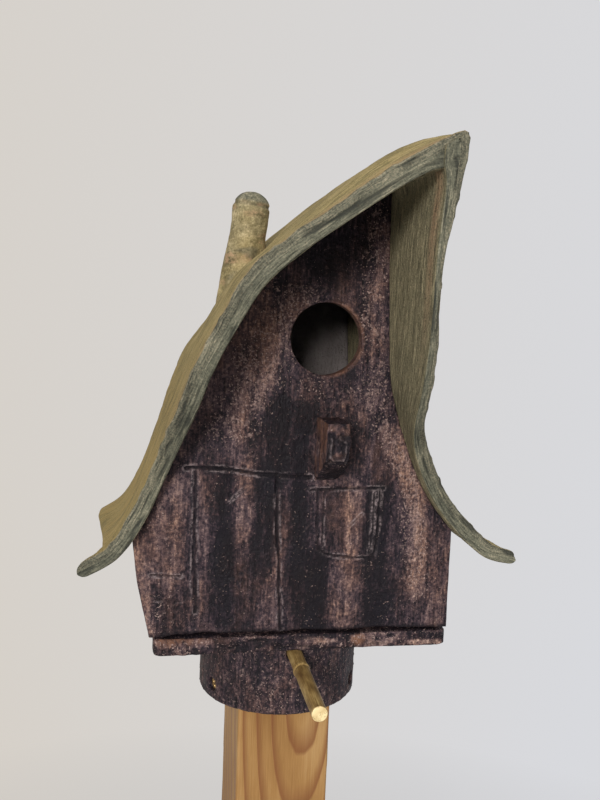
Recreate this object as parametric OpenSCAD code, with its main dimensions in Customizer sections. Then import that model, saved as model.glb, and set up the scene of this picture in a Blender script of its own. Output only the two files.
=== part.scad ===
// Stoneware birdhouse with a crooked gable roof, on a square pine post.
// Millimetres. +Z is up and the front of the house faces -Y.
// The origin is the middle of the post's bottom face.

/* [Post] */
// Length of the post, from its foot to the underside of the floor plate
post_len = 750; // [300:10:1800]
// Side of the square post
post_w = 45; // [38:0.5:48]
// Chamfer along the post's edges
post_ease = 1.5; // [0.5:0.5:4]
// Turn of the post against the front of the house, in degrees
post_turn = 3; // [-10:1:10]

/* [Socket under the house] */
// Height of the clay collar
collar_h = 33; // [25:1:60]
// Wall thickness of the collar
collar_t = 7; // [5:0.5:10]
// Play between the post's corners and the collar
collar_play = 0.6; // [0.2:0.1:4]
// Angle of the two front screws, away from straight ahead
screw_angle = 62; // [50:2:80]
// Height of the screws above the collar's lower rim
screw_z = 7; // [6:0.5:20]
// Diameter of a screw's shank
screw_d = 3.5; // [3:0.5:5]
// Diameter of a screw's head
screw_head_d = 6; // [5:0.5:9]
// Height of a screw's head
screw_head_h = 2.2; // [1.5:0.1:3]
// How deep the head sits in the clay
screw_sink = 1.2; // [0.5:0.1:1.5]
// How far a screw bites into the post
screw_bite = 10; // [5:1:15]

/* [Floor plate] */
// Thickness of the floor plate
plate_t = 7; // [5:0.5:12]
// How far the plate stands out past the front and back walls
plate_lip = 1; // [0:0.5:5]
// Radius of the plate's corners
plate_corner_r = 4; // [1:0.5:8]

/* [Walls] */
// Width of the house at the floor
house_w = 134; // [110:1:170]
// Depth of the house over both gable walls
house_d = 84; // [70:1:120]
// Thickness of the clay walls
wall_t = 7; // [5:0.5:10]
// Outward lean of the left wall, over the height that shows below the eave
left_lean = 8; // [0:1:12]
// How far right of the post's middle the house stands
house_x = 5; // [0:1:10]
// How far the post's middle lies behind the front wall's face
post_y = 42; // [38:1:46]
// Diameter of the entrance hole
hole_d = 32; // [25:1:40]
// Height of the entrance hole's middle above the floor
hole_z = 132.5; // [120:0.5:140]
// Sideways place of the entrance hole, from the middle of the front wall
hole_x = 4.5; // [-4:0.5:8]

/* [Roof] */
// Thickness of the two roof slabs
roof_t = 7.5; // [5:0.5:10]
// How far the roof reaches past the back wall
roof_back = 11; // [0:1:30]
// Depth of the shallow bay along each eave
eave_bay = 5; // [0:0.5:7]
// Radius of the clay fillet under the ridge
ridge_fillet_r = 8; // [4:0.5:12]

/* [Chimney] */
// Diameter of the clay chimney
chimney_d = 16.5; // [12:0.5:22]
// Height of the chimney's rounded top above the floor
chimney_top = 197; // [190:1:240]
// Sideways lean of the chimney, in degrees
chimney_lean = 8; // [0:1:15]
// Sideways place of the chimney's top, from the middle of the house
chimney_x = -27.5; // [-34:0.5:-20]
// Distance of the chimney behind the front wall's face
chimney_y = 28; // [12:1:60]

/* [Perches] */
// Sideways place of the bracket, from the middle of the front wall
bracket_x = 6.5; // [-10:0.5:15]
// Width of the clay bracket under the entrance hole
bracket_w = 10; // [7:0.5:16]
// How far the bracket stands out from the wall
bracket_out = 22; // [10:1:40]
// Height of the bracket's front face
bracket_front_h = 15.5; // [8:0.5:24]
// Height of the bracket where it meets the wall
bracket_h = 28.5; // [25:0.5:36]
// Gap between the entrance hole and the top of the bracket
bracket_drop = 18; // [4:0.5:24]
// Diameter of the bamboo perch
bamboo_d = 6.8; // [5:0.2:9]
// How far the bamboo reaches in front of the house
bamboo_out = 53; // [20:1:90]
// Sideways place of the bamboo, from the middle of the house
bamboo_x = -3.5; // [-10:0.5:0]
// Distance of the bamboo's joint in front of the house
bamboo_ring_out = 14; // [8:1:40]
// Play around the bamboo in its notch
bamboo_play = 0.2; // [0.1:0.1:0.5]

/* [Hidden] */
$fn = 64;

clay = [0.24, 0.18, 0.19];
glaze = [0.44, 0.45, 0.36];
pine = [0.80, 0.62, 0.38];
cane = [0.58, 0.50, 0.30];
brass = [0.72, 0.58, 0.30];

floor_z = post_len + plate_t;
collar_id = 2 * norm([post_w / 2, post_w / 2 - post_ease]) + 2 * collar_play;
collar_od = collar_id + 2 * collar_t;
screw_at = [-screw_angle, screw_angle, 180];
bamboo_z = post_len - bamboo_d / 2;
// Past every piece, for the blocks that cut.
far = 400;
// Width of the house that the section's points below are drawn for.
drawn_w = 134;
// Height of the side walls that shows below the eaves, and of the walls themselves.
shown_h = 41;
side_h = 2 * shown_h;

// Section of the roof, across the house, as [x, z] from the middle of the floor line.
// Outer face of the left slab, from the ridge tip down to the eave.
left_outer_pts = [
    [41, 211], [28, 205], [12, 195.5], [-6, 182.5], [-22, 170.5], [-36, 158], [-46, 141],
    [-55, 122], [-62, 100], [-69, 79], [-77, 58.5], [-86, 44.5], [-97, 38]
];
// Inner face of the right slab, from the ridge down to the eave.
right_inner_pts = [
    [30, 206], [30.5, 194], [31, 170], [32.3, 146], [33.8, 118], [38, 101], [44, 84],
    [50.5, 69.5], [58.5, 57], [69, 45.5], [80, 38.5], [91, 34.5]
];
// Front edge of the roof from the side, as [y, z] from the front wall's face:
// a hood over the entrance that draws back to the wall above the eaves.
hood_pts = [
    [-15, 24], [-12, 38], [-8, 55], [-8, 70], [-13, 80], [-21, 91], [-32, 101],
    [-43, 113], [-51, 130], [-57, 158], [-60.5, 195], [-62, 222]
];

// Smooth curve through a list of points, n steps between neighbours.
function between(a, b, c, d, t) = 0.5 * (2 * b + (c - a) * t
    + (2 * a - 5 * b + 4 * c - d) * t * t + (3 * b - a - 3 * c + d) * t * t * t);
function curve(p, n) = concat(
    [for (i = [0 : len(p) - 2]) for (k = [0 : n - 1])
        between(p[max(i - 1, 0)], p[i], p[i + 1], p[min(i + 2, len(p) - 1)], k / n)],
    [p[len(p) - 1]]);
// The same curve moved sideways by d, to the left of its direction.
function along(c, i) = c[min(i + 1, len(c) - 1)] - c[max(i - 1, 0)];
function beside(c, d) = [for (i = [0 : len(c) - 1])
    c[i] + d * [-along(c, i)[1], along(c, i)[0]] / norm(along(c, i))];
function reversed(c) = [for (i = [len(c) - 1 : -1 : 0]) c[i]];

// The section follows the width of the house.
function spread(p) = [for (q = p) [q[0] * house_w / drawn_w, q[1]]];
left_outer = curve(spread(left_outer_pts), 3);
left_inner = beside(left_outer, roof_t);
right_inner = curve(spread(right_inner_pts), 3);
hood = curve(hood_pts, 3);
roof_y0 = hood_pts[len(hood_pts) - 1][0] - 2;
roof_y1 = house_d + roof_back;

// Moves a piece from the floor line's middle, at the front wall, to its place on the post.
module in_house() translate([house_x, -post_y, floor_z]) children();

// A section in x and z, drawn out from y0 to y1.
module across(pts, y0, y1)
    translate([0, y1, 0]) rotate([90, 0, 0]) linear_extrude(y1 - y0) polygon(pts);

// Everything under the left slab, and everything left of the right slab.
module under_left(y0, y1) across(concat(left_inner, [[-far, -far], [far, -far], [far, far]]), y0, y1);
module under_right(y0, y1) across(concat(right_inner, [[far, -far], [-far, -far], [-far, far]]), y0, y1);

// The roof's outline from the side, with the hooded front edge and straight back edge.
module side_outline()
    translate([-far / 2, 0, 0]) rotate([90, 0, 90]) linear_extrude(far)
        polygon(concat(hood, [[roof_y1, hood[len(hood) - 1][1]], [roof_y1, hood[0][1]]]));

// Round end of a slab at its eave, from the line's end to the end of the line beside it.
function eave_middle(line) = (line[len(line) - 1] + beside(line, roof_t)[len(line) - 1]) / 2;
function eave_round(line) = let (m = eave_middle(line), v = line[len(line) - 1] - m)
    [for (a = [22.5 : 22.5 : 157.5]) m + [v[0] * cos(a) - v[1] * sin(a), v[0] * sin(a) + v[1] * cos(a)]];

// One roof slab of roof_t beside a line, cut to the roof's outlines.
module slab(line) intersection() {
    across(concat(line, eave_round(line), reversed(beside(line, roof_t))), roof_y0, roof_y1);
    side_outline();
    plan_outline();
}

// The roof's outline from above, with a shallow bay along each eave, between steps beside it.
bay_steps = 12;
bay_y1 = house_d + 4;
bay_step = 1;
function bay(edge, side) = [for (i = [0 : bay_steps])
    let (t = i / bay_steps) [edge - side * eave_bay * 4 * t * (1 - t), t * bay_y1]];
module plan_outline() {
    left = eave_middle(left_outer)[0] - roof_t;
    right = eave_middle(right_inner)[0] + roof_t;
    inset = roof_t / 2;
    translate([0, 0, -far / 2]) linear_extrude(2 * far) polygon(concat(
        [[left, -far], [right, -far], [right, -bay_step]], bay(right - inset, 1),
        [[right, bay_y1 + bay_step], [right, far], [left, far], [left, bay_y1 + bay_step]],
        reversed(bay(left + inset, -1)), [[left, -bay_step]]));
}

// Outline of a gable wall: leaning sides at the foot, the roof's underside above.
module gable(y0, y1) intersection() {
    across([[-house_w / 2, 0], [house_w / 2, 0], [house_w / 2, far],
            [-house_w / 2 - left_lean * far / shown_h, far]], y0, y1);
    under_left(y0, y1);
    under_right(y0, y1);
}

// Places its children at one screw: z = 0 on the collar's face, +Z into the clay.
module at_screw(i)
    translate([0, 0, post_len - collar_h + screw_z]) rotate(screw_at[i] - 90)
        rotate([0, -90, 0]) translate([0, 0, -collar_od / 2]) children();

// A screw's own shape. The clay gets the same shape with play around it.
module screw_shape(play) {
    shank = collar_od / 2 - post_w / 2 + screw_bite;
    cylinder(d = screw_d + 2 * play, h = shank);
    translate([0, 0, screw_sink]) cylinder(d = screw_head_d + 2 * play, h = screw_head_h);
}

module screw(i) color(brass) difference() {
    at_screw(i) screw_shape(0);
    at_screw(i) translate([0, 0, -1]) cylinder(d = screw_head_d, h = 1 + screw_sink);
}

module post() color(pine) difference() {
    rotate(post_turn) linear_extrude(post_len) polygon([
        for (a = [0 : 90 : 270]) for (e = [[0, post_ease], [post_ease, 0]])
            let (x = post_w / 2 - e[0], y = post_w / 2 - e[1])
                a % 180 == 0 ? [x * cos(a), y * cos(a)] : [-y * sin(a), x * sin(a)]
    ]);
    for (i = [0 : 2]) at_screw(i) screw_shape(0);
}

module collar() color(clay) difference() {
    translate([0, 0, post_len - collar_h]) difference() {
        cylinder(d = collar_od, h = collar_h, $fn = 128);
        translate([0, 0, -1]) cylinder(d = collar_id, h = collar_h + 2, $fn = 128);
    }
    for (i = [0 : 2]) at_screw(i) {
        screw_shape(0.2);
        translate([0, 0, -1]) cylinder(d = screw_head_d + 0.4, h = 1 + screw_sink + screw_head_h);
    }
    bamboo_notch();
}

// The notch in the collar's upper rim that holds the bamboo under the floor plate.
module bamboo_notch() {
    w = bamboo_d + 2 * bamboo_play;
    translate([house_x + bamboo_x, 0, bamboo_z]) {
        rotate([90, 0, 0]) cylinder(d = w, h = collar_od);
        translate([-w / 2, -collar_od, 0]) cube([w, collar_od, bamboo_d]);
    }
}

module bamboo_perch() color(cane) translate([house_x + bamboo_x, -post_y, bamboo_z]) {
    inner_end = post_y - collar_id / 2 + 5;
    translate([0, inner_end, 0]) rotate([90, 0, 0]) cylinder(d = bamboo_d, h = inner_end + bamboo_out);
    translate([0, -bamboo_ring_out, 0]) rotate([90, 0, 0]) cylinder(d = bamboo_d + 0.8, h = 1.2);
}

module floor_plate() color(clay) in_house() translate([0, 0, -plate_t]) {
    x = house_w / 2;
    r = plate_corner_r;
    y0 = -plate_lip;
    y1 = house_d + plate_lip;
    translate([-x + r, y0, 0]) cube([2 * (x - r), y1 - y0, plate_t]);
    translate([-x, y0 + r, 0]) cube([2 * x, y1 - y0 - 2 * r, plate_t]);
    for (cx = [-x + r, x - r], cy = [y0 + r, y1 - r])
        translate([cx, cy, 0]) cylinder(r = r, h = plate_t);
}

module front_wall() color(clay) in_house() difference() {
    gable(0, wall_t);
    translate([hole_x, wall_t + 1, hole_z]) rotate([90, 0, 0]) cylinder(d = hole_d, h = wall_t + 2);
}

module back_wall() color(clay) in_house() gable(house_d - wall_t, house_d);

module left_wall() color(clay) in_house() intersection() {
    gable(wall_t, house_d - wall_t);
    across([[-far, 0], [-house_w / 2 + wall_t, 0],
            [-house_w / 2 + wall_t - left_lean * side_h / shown_h, side_h], [-far, side_h]], 0, house_d);
}

module right_wall() color(clay) in_house() intersection() {
    gable(wall_t, house_d - wall_t);
    across([[house_w / 2 - wall_t, 0], [far, 0], [far, side_h], [house_w / 2 - wall_t, side_h]], 0, house_d);
}

module left_roof() color(glaze) in_house() slab(left_outer);

module right_roof() color(glaze) in_house() {
    intersection() {
        slab(right_inner);
        under_left(roof_y0, roof_y1);
    }
    ridge_fillet();
}

// The clay pressed into the corner under the ridge, in the overhang only.
module ridge_fillet() {
    r = ridge_fillet_r;
    corner = right_inner[3];
    difference() {
        intersection() {
            translate([corner[0] - r, roof_y0, corner[1] - r]) cube([2 * r, -roof_y0, 3 * r]);
            under_left(roof_y0, 0);
            under_right(roof_y0, 0);
            side_outline();
        }
        translate([corner[0] - r, 1, corner[1] - r]) rotate([90, 0, 0]) cylinder(r = r, h = 2 - roof_y0);
    }
}

module chimney() color(glaze) in_house() difference() {
    top = chimney_top - chimney_d / 2;
    rod = top - left_outer_pts[7][1];
    translate([chimney_x, chimney_y, top]) {
        sphere(d = chimney_d);
        rotate([0, chimney_lean, 0]) translate([0, 0, -rod]) cylinder(d = chimney_d, h = rod);
    }
    across(concat(left_outer, [[-far, -far], [far, -far], [far, far]]), roof_y0, roof_y1);
}

// A wedge of clay under the entrance hole, as the section [y, z] from its top corner.
module perch_bracket() color(clay) in_house()
    translate([bracket_x - bracket_w / 2, 0, hole_z - hole_d / 2 - bracket_drop])
        rotate([90, 0, 90]) linear_extrude(bracket_w)
            polygon([[0, 0], [-bracket_out, 0], [-bracket_out, -bracket_front_h], [0, -bracket_h]]);

post();
collar();
screw(0);  // collar_screw_left
screw(1);  // collar_screw_right
screw(2);  // collar_screw_back
floor_plate();
front_wall();
back_wall();
left_wall();
right_wall();
left_roof();
right_roof();
chimney();
perch_bracket();
bamboo_perch();
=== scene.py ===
"""Looks of a stoneware birdhouse on a pine post: torn slab edges, rubbed oxide, combed glaze."""
import itertools
import math

import bmesh
import bpy
import numpy as np
from mathutils import Matrix, Vector


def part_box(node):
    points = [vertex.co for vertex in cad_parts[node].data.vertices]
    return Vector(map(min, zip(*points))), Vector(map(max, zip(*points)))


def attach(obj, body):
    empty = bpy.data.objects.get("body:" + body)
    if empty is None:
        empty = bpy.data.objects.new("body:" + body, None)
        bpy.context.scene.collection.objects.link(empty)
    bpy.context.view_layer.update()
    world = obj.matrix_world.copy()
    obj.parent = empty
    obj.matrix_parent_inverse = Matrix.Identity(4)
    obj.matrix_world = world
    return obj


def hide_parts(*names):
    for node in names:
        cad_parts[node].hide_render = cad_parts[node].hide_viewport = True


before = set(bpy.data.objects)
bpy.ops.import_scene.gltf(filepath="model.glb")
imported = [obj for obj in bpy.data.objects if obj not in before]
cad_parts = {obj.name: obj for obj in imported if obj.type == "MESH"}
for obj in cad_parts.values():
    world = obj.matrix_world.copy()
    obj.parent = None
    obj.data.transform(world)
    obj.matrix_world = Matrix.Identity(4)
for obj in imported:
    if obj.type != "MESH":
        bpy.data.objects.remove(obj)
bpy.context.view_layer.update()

# ---------------------------------------------------------------- places and sizes, in mm
# Shapes are worked out in millimetres from the middle of the front wall's foot: x to the right,
# y to the back, z up. HOUSE is that point in the row's metres.
MM = 0.001
plate_lo, plate_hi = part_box("floor_plate")
wall_lo, wall_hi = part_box("front_wall")
HOUSE = np.array([(plate_lo.x + plate_hi.x) / 2, wall_lo.y, plate_hi.z])
ROOF_BACK = (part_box("left_roof")[1].y - HOUSE[1]) / MM
WALL_T = (wall_hi.y - wall_lo.y) / MM
SLAB_T = 7.5
EAVE_BAY = 5.0
HOLE_X = 4.5
HOLE_Z = 132.5
HOLE_R = 16.0
collar_lo, collar_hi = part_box("collar")
COLLAR_R = (collar_hi.x - collar_lo.x) / 2 / MM
PLATE_T = 7.0
POST_W = 45.0
SCREW_HEAD_D = 6.0
SCREW_HEAD_T = 2.2
SCREW_SHANK_D = 3.5
SCREW_SINK = 1.2
SCREW_BITE = 10.0
SCREW_TIP = 2.2
THREAD_PITCH = 1.1
THREAD_DEPTH = 0.35
SLOT_DEPTH = 0.85
CHIMNEY_R = 8.25
CHIMNEY_LEAN = math.radians(8)

# Section of the roof as [x, z], the same points as the CAD model's.
LEFT_OUTER = [(41, 211), (28, 205), (12, 195.5), (-6, 182.5), (-22, 170.5), (-36, 158), (-46, 141),
              (-55, 122), (-62, 100), (-69, 79), (-77, 58.5), (-86, 44.5), (-97, 38)]
RIGHT_INNER = [(30, 206), (30.5, 194), (31, 170), (32.3, 146), (33.8, 118), (38, 101), (44, 84),
               (50.5, 69.5), (58.5, 57), (69, 45.5), (80, 38.5), (91, 34.5)]
# The same inner face along its front edge: a little further out at the ridge and in at the waist.
RIGHT_INNER_FRONT = [(32.5, 206), (32.8, 194), (31.7, 170), (32.1, 146), (33, 118), (35.2, 100.5),
                     (41.8, 85.3), (50.2, 70.1), (58.3, 57.5), (68, 46.5), (79.2, 37.5), (91, 34.5)]
# The front edge of the roof from the side, as [y, z].
HOOD = [(-15, 24), (-12, 38), (-8, 55), (-8, 70), (-13, 80), (-21, 91), (-32, 101), (-43, 113),
        (-51, 130), (-57, 158), (-60.5, 195), (-62, 222)]
# Thickness of the right slab's front edge, by distance down from the ridge.
RIGHT_EDGE_T = [(0, 9.2), (6, 8.2), (13, 6.8), (28, 4.9), (37, 3.9), (46, 3.0), (58, 3.0),
                (71, 4.4), (88, 4.6), (98, 4.2), (106, 4.3), (125, 6), (145, 7), (165, 7.2),
                (182, 6.6), (190, 5.6)]
# Swelling of the left slab's outer face behind its front edge, by x.
LEFT_SWELL = [(-24, 0), (-18, 1.0), (-8, 2.6), (3, 3.8), (11, 4.8), (17, 5.2), (25, 5.4), (32, 4.8),
              (38, 3.6), (41.5, 2.2)]
# How far the left slab sinks towards its back, by x.
LEFT_SINK = [(-100, 3.5), (-88, 2.4), (-78, 1.4), (-70, 1.0), (-62, 0.4), (-54, 1.6), (-46, 4.6),
             (-38, 5.6), (-28, 4.6), (-16, 0)]
# How far the left eave draws back, by distance behind its front tip.
LEFT_BAY = [(0, 0), (3, 3.0), (6, 7.0), (10, 10.0), (15, 10.6), (30, 9.4), (60, 6.0), (98, 1.0)]
# Thickness of the right slab behind its front edge, by distance down from the ridge.
RIGHT_T = [(0, 7.5), (95, 7.0), (125, 5.4), (160, 4.6), (190, 4.2)]
# Thickness of the left slab, by distance down from the ridge.
LEFT_T = [(0, 7.8), (40, 7.5), (180, 7.5), (225, 6.2), (240, 6.0), (256, 6.8)]


def smooth(low, high, x):
    """0 below low, 1 above high, and an S-curve between them."""
    t = np.clip((x - low) / (high - low), 0, 1)
    return t * t * (3 - 2 * t)


def by_table(table, x):
    """The value at x between the pairs of a short table."""
    keys, values = np.array(table, float).T
    return np.interp(x, keys, values)


def in_mm(box):
    """A box's two corners in the house's millimetres."""
    return (np.array(box) - HOUSE) / MM


# ---------------------------------------------------------------- repeatable noise
def lattice(cell, seed):
    """A repeatable number from 0 to 1 for each whole-number cell."""
    n = cell[..., 0] * 374761393 + cell[..., 1] * 668265263 + cell[..., 2] * 1440662683
    n = (n + seed * 974634777) & 0x7FFFFFFF
    n = ((n ^ (n >> 13)) * 1274126177) & 0x7FFFFFFF
    n = ((n ^ (n >> 15)) * 668265263) & 0x7FFFFFFF
    return (n >> 8 & 0xFFFF) / 65535.0


def noise(points, size, seed=0):
    """Smooth noise from -1 to 1. The lumps have the given size in mm, one for all axes or one each."""
    q = np.asarray(points, float) / size
    cell = np.floor(q).astype(np.int64)
    f = q - cell
    f = f * f * (3 - 2 * f)
    total = np.zeros(len(q))
    for corner in itertools.product((0, 1), repeat=3):
        c = np.array(corner)
        total += np.prod(np.where(c == 1, f, 1 - f), axis=1) * lattice(cell + c, seed)
    return 2 * total - 1


def fractal(points, size, octaves, seed=0):
    """Noise summed over octaves that halve in size and strength, from about -1 to 1."""
    size = np.asarray(size, float)
    return sum(noise(points, size / 2**k, seed + 7 * k) / 2**k for k in range(octaves)) / 1.6


# ---------------------------------------------------------------- lines
def catmull(points, steps):
    """The same smooth curve through the points as in the CAD model, with more steps."""
    p = np.array(points, float)
    a, b, c, d = p[[0, *range(len(p) - 2)]], p[:-1], p[1:], p[[*range(2, len(p)), -1]]
    out = []
    for k in range(steps):
        t = k / steps
        out.append(0.5 * (2 * b + (c - a) * t + (2 * a - 5 * b + 4 * c - d) * t**2
                          + (3 * b - a - 3 * c + d) * t**3))
    return np.vstack([np.stack(out, axis=1).reshape(-1, p.shape[1]), p[-1:]])


class Line:
    """A curve in x and z that gives its place and left-hand side by distance along it."""

    def __init__(self, points, beyond=8.0):
        p = catmull(points, 16)
        start, end = p[0] - p[1], p[-1] - p[-2]
        p = np.vstack([p[0] + start / np.linalg.norm(start) * beyond, p,
                       p[-1] + end / np.linalg.norm(end) * beyond])
        self.points = p
        self.at = np.concatenate([[0], np.cumsum(np.linalg.norm(np.diff(p, axis=0), axis=1))]) - beyond
        self.length = self.at[-1] - beyond
        d = np.gradient(p, self.at, axis=0)
        d /= np.linalg.norm(d, axis=1)[:, None]
        self.side = np.stack([-d[:, 1], d[:, 0]], axis=1)

    def place(self, s, n):
        x, z = (np.interp(s, self.at, self.points[:, k]) + n * np.interp(s, self.at, self.side[:, k])
                for k in (0, 1))
        return x, z


def line_distance(x, z, points):
    """Distance from each place to a run of straight stretches."""
    best = np.full(len(x), 1e9)
    points = np.array(points, float)
    for a, b in zip(points[:-1], points[1:]):
        run = b - a
        t = np.clip(((x - a[0]) * run[0] + (z - a[1]) * run[1]) / (run @ run), 0, 1)
        best = np.minimum(best, np.hypot(x - a[0] - t * run[0], z - a[1] - t * run[1]))
    return best


hood_line = catmull(HOOD, 8)


def hood_y(z):
    """How far forward the roof's front edge lies at a height."""
    return np.interp(z, hood_line[:, 1], hood_line[:, 0])


# ---------------------------------------------------------------- meshes
def add_mesh(name, points, faces, material, masks, nodes):
    """A smooth mesh in the house's millimetres, with per-point masks for its material."""
    mesh = bpy.data.meshes.new(name)
    whole = [list(map(int, face)) for face in faces]
    mesh.from_pydata((HOUSE + MM * points).tolist(), [], whole)
    bm = bmesh.new()
    bm.from_mesh(mesh)
    bmesh.ops.recalc_face_normals(bm, faces=bm.faces)
    bm.to_mesh(mesh)
    bm.free()
    return finish_piece(name, mesh, material, masks, nodes)


def finish_piece(name, mesh, material, masks, nodes):
    """A smooth piece on the body, with its masks and material, that replaces its CAD nodes."""
    for key, values in masks.items():
        values = np.asarray(values, float)
        kind, field = ("FLOAT", "value") if values.ndim == 1 else ("FLOAT_VECTOR", "vector")
        mesh.attributes.new(key, kind, "POINT").data.foreach_set(field, values.ravel())
    mesh.polygons.foreach_set("use_smooth", [True] * len(mesh.polygons))
    mesh.materials.clear()
    mesh.materials.append(material)
    piece = bpy.data.objects.new(name, mesh)
    bpy.context.scene.collection.objects.link(piece)
    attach(piece, "root")
    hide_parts(*nodes)
    return piece


def ring_faces(rows, around):
    """Quads between rows of points that each close on themselves."""
    i, j = np.meshgrid(np.arange(rows - 1), np.arange(around), indexing="ij")
    k = (j + 1) % around
    corners = [i * around + j, i * around + k, (i + 1) * around + k, (i + 1) * around + j]
    return np.stack(corners, -1).reshape(-1, 4).tolist()


def tube_faces(rows, around):
    """The same quads, with one face over each end."""
    last = (rows - 1) * around
    return ring_faces(rows, around) + [list(range(around)), list(range(last, last + around))]


def tube_grid(turns, along):
    """The angle of each of a tube's points, and how far along it is, row by row."""
    angle, place = np.meshgrid(np.linspace(0, 2 * math.pi, turns, endpoint=False), along)
    return angle.ravel(), place.ravel()


def clay_copy(node, voxel):
    """Points, normals and mesh of a fine, evenly meshed copy of a CAD node, in the house's mm."""
    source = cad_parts[node]
    copy = bpy.data.objects.new("copy", source.data.copy())
    bpy.context.scene.collection.objects.link(copy)
    remesh = copy.modifiers.new("Remesh", "REMESH")
    remesh.mode = "VOXEL"
    remesh.voxel_size = voxel * MM
    mesh = bpy.data.meshes.new_from_object(copy.evaluated_get(bpy.context.evaluated_depsgraph_get()))
    bpy.data.objects.remove(copy)
    count = len(mesh.vertices)
    points = np.empty(count * 3)
    normals = np.empty(count * 3)
    mesh.vertices.foreach_get("co", points)
    mesh.vertex_normals.foreach_get("vector", normals)
    return mesh, (points.reshape(-1, 3) - HOUSE) / MM, normals.reshape(-1, 3)


def move_points(mesh, points):
    mesh.vertices.foreach_set("co", (HOUSE + MM * points).ravel())
    mesh.update()


# ---------------------------------------------------------------- shaders
def srgb(red, green, blue):
    """A colour given from 0 to 255 as it looks on screen."""
    linear = [c / 12.92 if c <= 0.04045 else ((c + 0.055) / 1.055) ** 2.4
              for c in (red / 255, green / 255, blue / 255)]
    return (*linear, 1.0)


class Shader:
    """Builds one material. Lengths are in mm, from the mesh's own attributes or place."""

    def __init__(self, name, roughness, specular=0.3):
        self.material = bpy.data.materials.new(name)
        self.material.use_nodes = True
        self.tree = self.material.node_tree
        self.bsdf = self.tree.nodes["Principled BSDF"]
        self.bsdf.inputs["Roughness"].default_value = roughness
        self.bsdf.inputs["Specular IOR Level"].default_value = specular

    def node(self, kind, inputs, output=0, **settings):
        n = self.tree.nodes.new("ShaderNode" + kind)
        for key, value in settings.items():
            setattr(n, key, value)
        for key, value in inputs.items():
            self.feed(n.inputs[key], value)
        return n.outputs[output]

    def feed(self, socket, value):
        if isinstance(value, bpy.types.NodeSocket):
            self.tree.links.new(value, socket)
        else:
            socket.default_value = value

    def place(self):
        """The point's place in mm."""
        coordinate = self.node("TexCoord", {}, "Object")
        return self.node("VectorMath", {0: coordinate, 1: (1000, 1000, 1000)}, operation="MULTIPLY")

    def attribute(self, name, output="Fac"):
        return self.node("Attribute", {}, output, attribute_name=name)

    def stretch(self, vector, sizes):
        """The place counted in lumps of the given sizes, in mm."""
        return self.node("VectorMath", {0: vector, 1: tuple(1 / s for s in sizes)}, operation="MULTIPLY")

    def noise(self, vector, sizes, detail=3.0, rough=0.55, warp=0.0):
        sizes = sizes if isinstance(sizes, tuple) else (sizes,) * 3
        return self.node("TexNoise", {"Vector": self.stretch(vector, sizes), "Scale": 1.0,
                                      "Detail": detail, "Roughness": rough, "Distortion": warp})

    def specks(self, vector, size, radius):
        """1 in small round specks, 0 between them."""
        d = self.node("TexVoronoi", {"Vector": self.stretch(vector, (size,) * 3), "Scale": 1.0})
        return self.node("MapRange", {0: d, 1: radius, 2: radius * 0.55, 3: 0.0, 4: 1.0})

    def math(self, operation, a, b=0.0):
        return self.node("Math", {0: a, 1: b}, operation=operation)

    def times(self, a, b):
        return self.math("MULTIPLY", a, b)

    def total(self, *terms, offset=0.0):
        """The sum of (value, weight) terms and an offset."""
        result = offset
        for value, weight in terms:
            result = self.node("Math", {0: value, 1: weight, 2: result}, operation="MULTIPLY_ADD")
        return result

    def level(self, value, low, high, to_low=0.0, to_high=1.0):
        """value from low to high, made into to_low to to_high and kept there."""
        return self.node("MapRange", {0: value, 1: low, 2: high, 3: to_low, 4: to_high})

    def ramp(self, value, *stops):
        """Colours by value, from stops of (position, red, green, blue)."""
        n = self.tree.nodes.new("ShaderNodeValToRGB")
        self.feed(n.inputs[0], value)
        while len(n.color_ramp.elements) < len(stops):
            n.color_ramp.elements.new(0.5)
        for element, (position, *colour) in zip(n.color_ramp.elements, stops):
            element.position = position
            element.color = srgb(*colour)
        return n.outputs[0]

    def mix(self, factor, a, b, blend="MIX"):
        return self.node("Mix", {0: factor, 6: a, 7: b}, 2, data_type="RGBA", blend_type=blend)

    def colour(self, value):
        self.feed(self.bsdf.inputs["Base Color"], value)

    def roughness(self, value):
        self.feed(self.bsdf.inputs["Roughness"], value)

    def bump(self, *layers):
        """Layers of (height, depth in mm), each laid over the last."""
        normal = None
        for height, depth in layers:
            inputs = {"Height": height, "Strength": 1.0, "Distance": depth * MM}
            if normal is not None:
                inputs["Normal"] = normal
            normal = self.node("Bump", inputs)
        self.feed(self.bsdf.inputs["Normal"], normal)


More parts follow.
